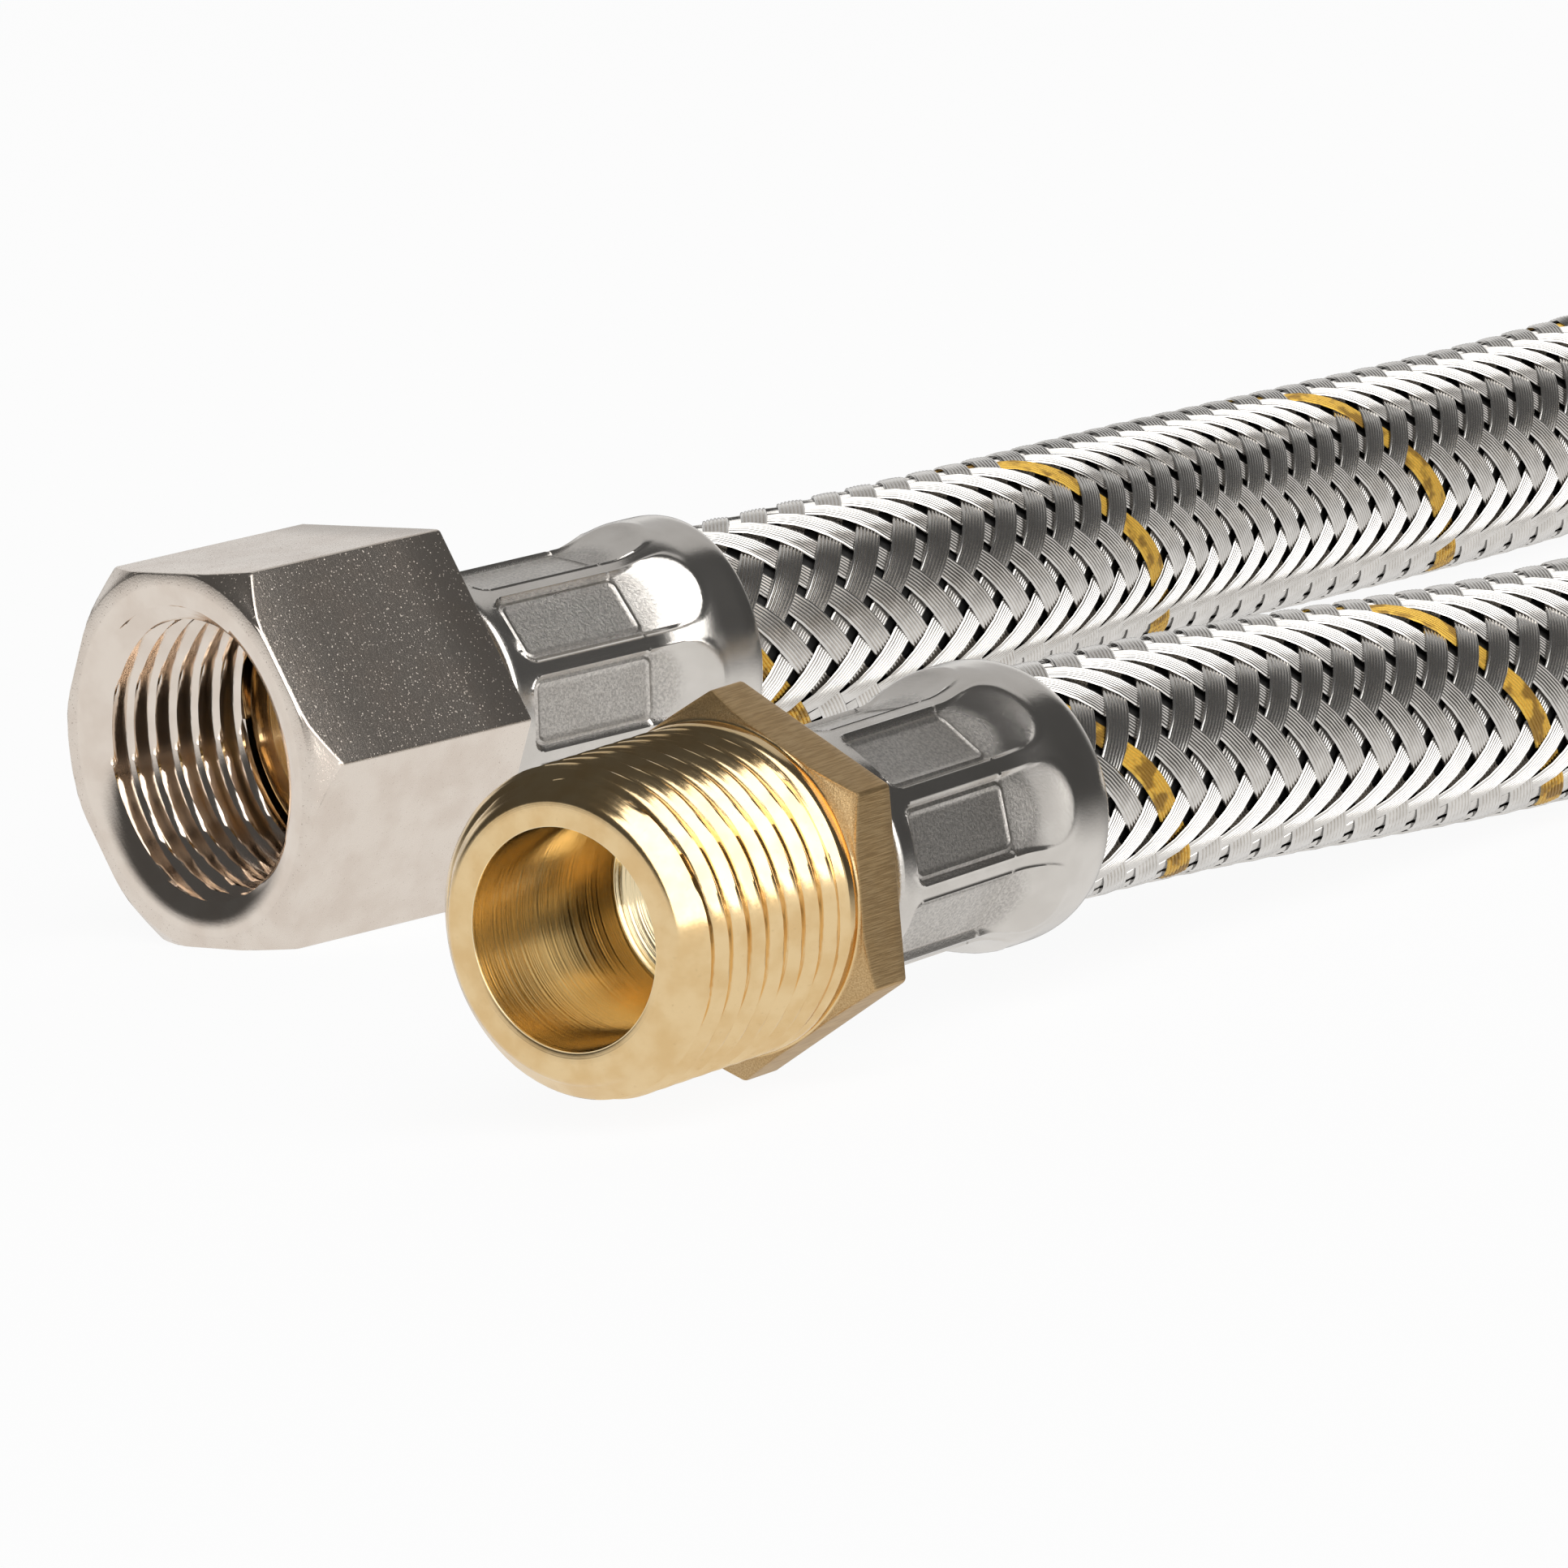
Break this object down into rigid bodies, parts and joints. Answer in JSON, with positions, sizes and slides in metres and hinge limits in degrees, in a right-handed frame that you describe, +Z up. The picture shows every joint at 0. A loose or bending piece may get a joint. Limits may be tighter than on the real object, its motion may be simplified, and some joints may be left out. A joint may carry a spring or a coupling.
{
  "type": "braided gas hose",
  "caption": "Short braided gas hose with a swivel nut on one end and a threaded male fitting on the other, lying on a flat surface in a loop.",
  "frame": {"origin": "middle of the box round the fittings, seen from above, on the surface that the hose lies on", "axes": "+X along the swivel nut from its mouth towards the hose, +Z up from the surface"},
  "size_m": [0.3066, 0.1495, 0.025],
  "materials": {
    "nickel_plate": "satin nickel plate over brass",
    "turned_brass": "bare turned brass",
    "dull_stainless": "dull pressed stainless steel",
    "bright_wire": "bright drawn stainless wire",
    "black_rubber": "matt black rubber"
  },
  "bodies": {
    "hose": {"female_tail": "turned_brass", "ferrule_female": "dull_stainless", "male_fitting": "turned_brass", "ferrule_male": "dull_stainless", "wire_braid": "bright_wire", "inner_tube": "black_rubber"},
    "nut": {"swivel_nut": "nickel_plate"}
  },
  "joints": [
    {"name": "nut_swivel", "type": "hinge", "parent": "hose", "child": "nut", "pos_m": [0.01347, 0.04065, 0.0125], "axis": [1, 0, 0], "continuous": true}
  ]
}
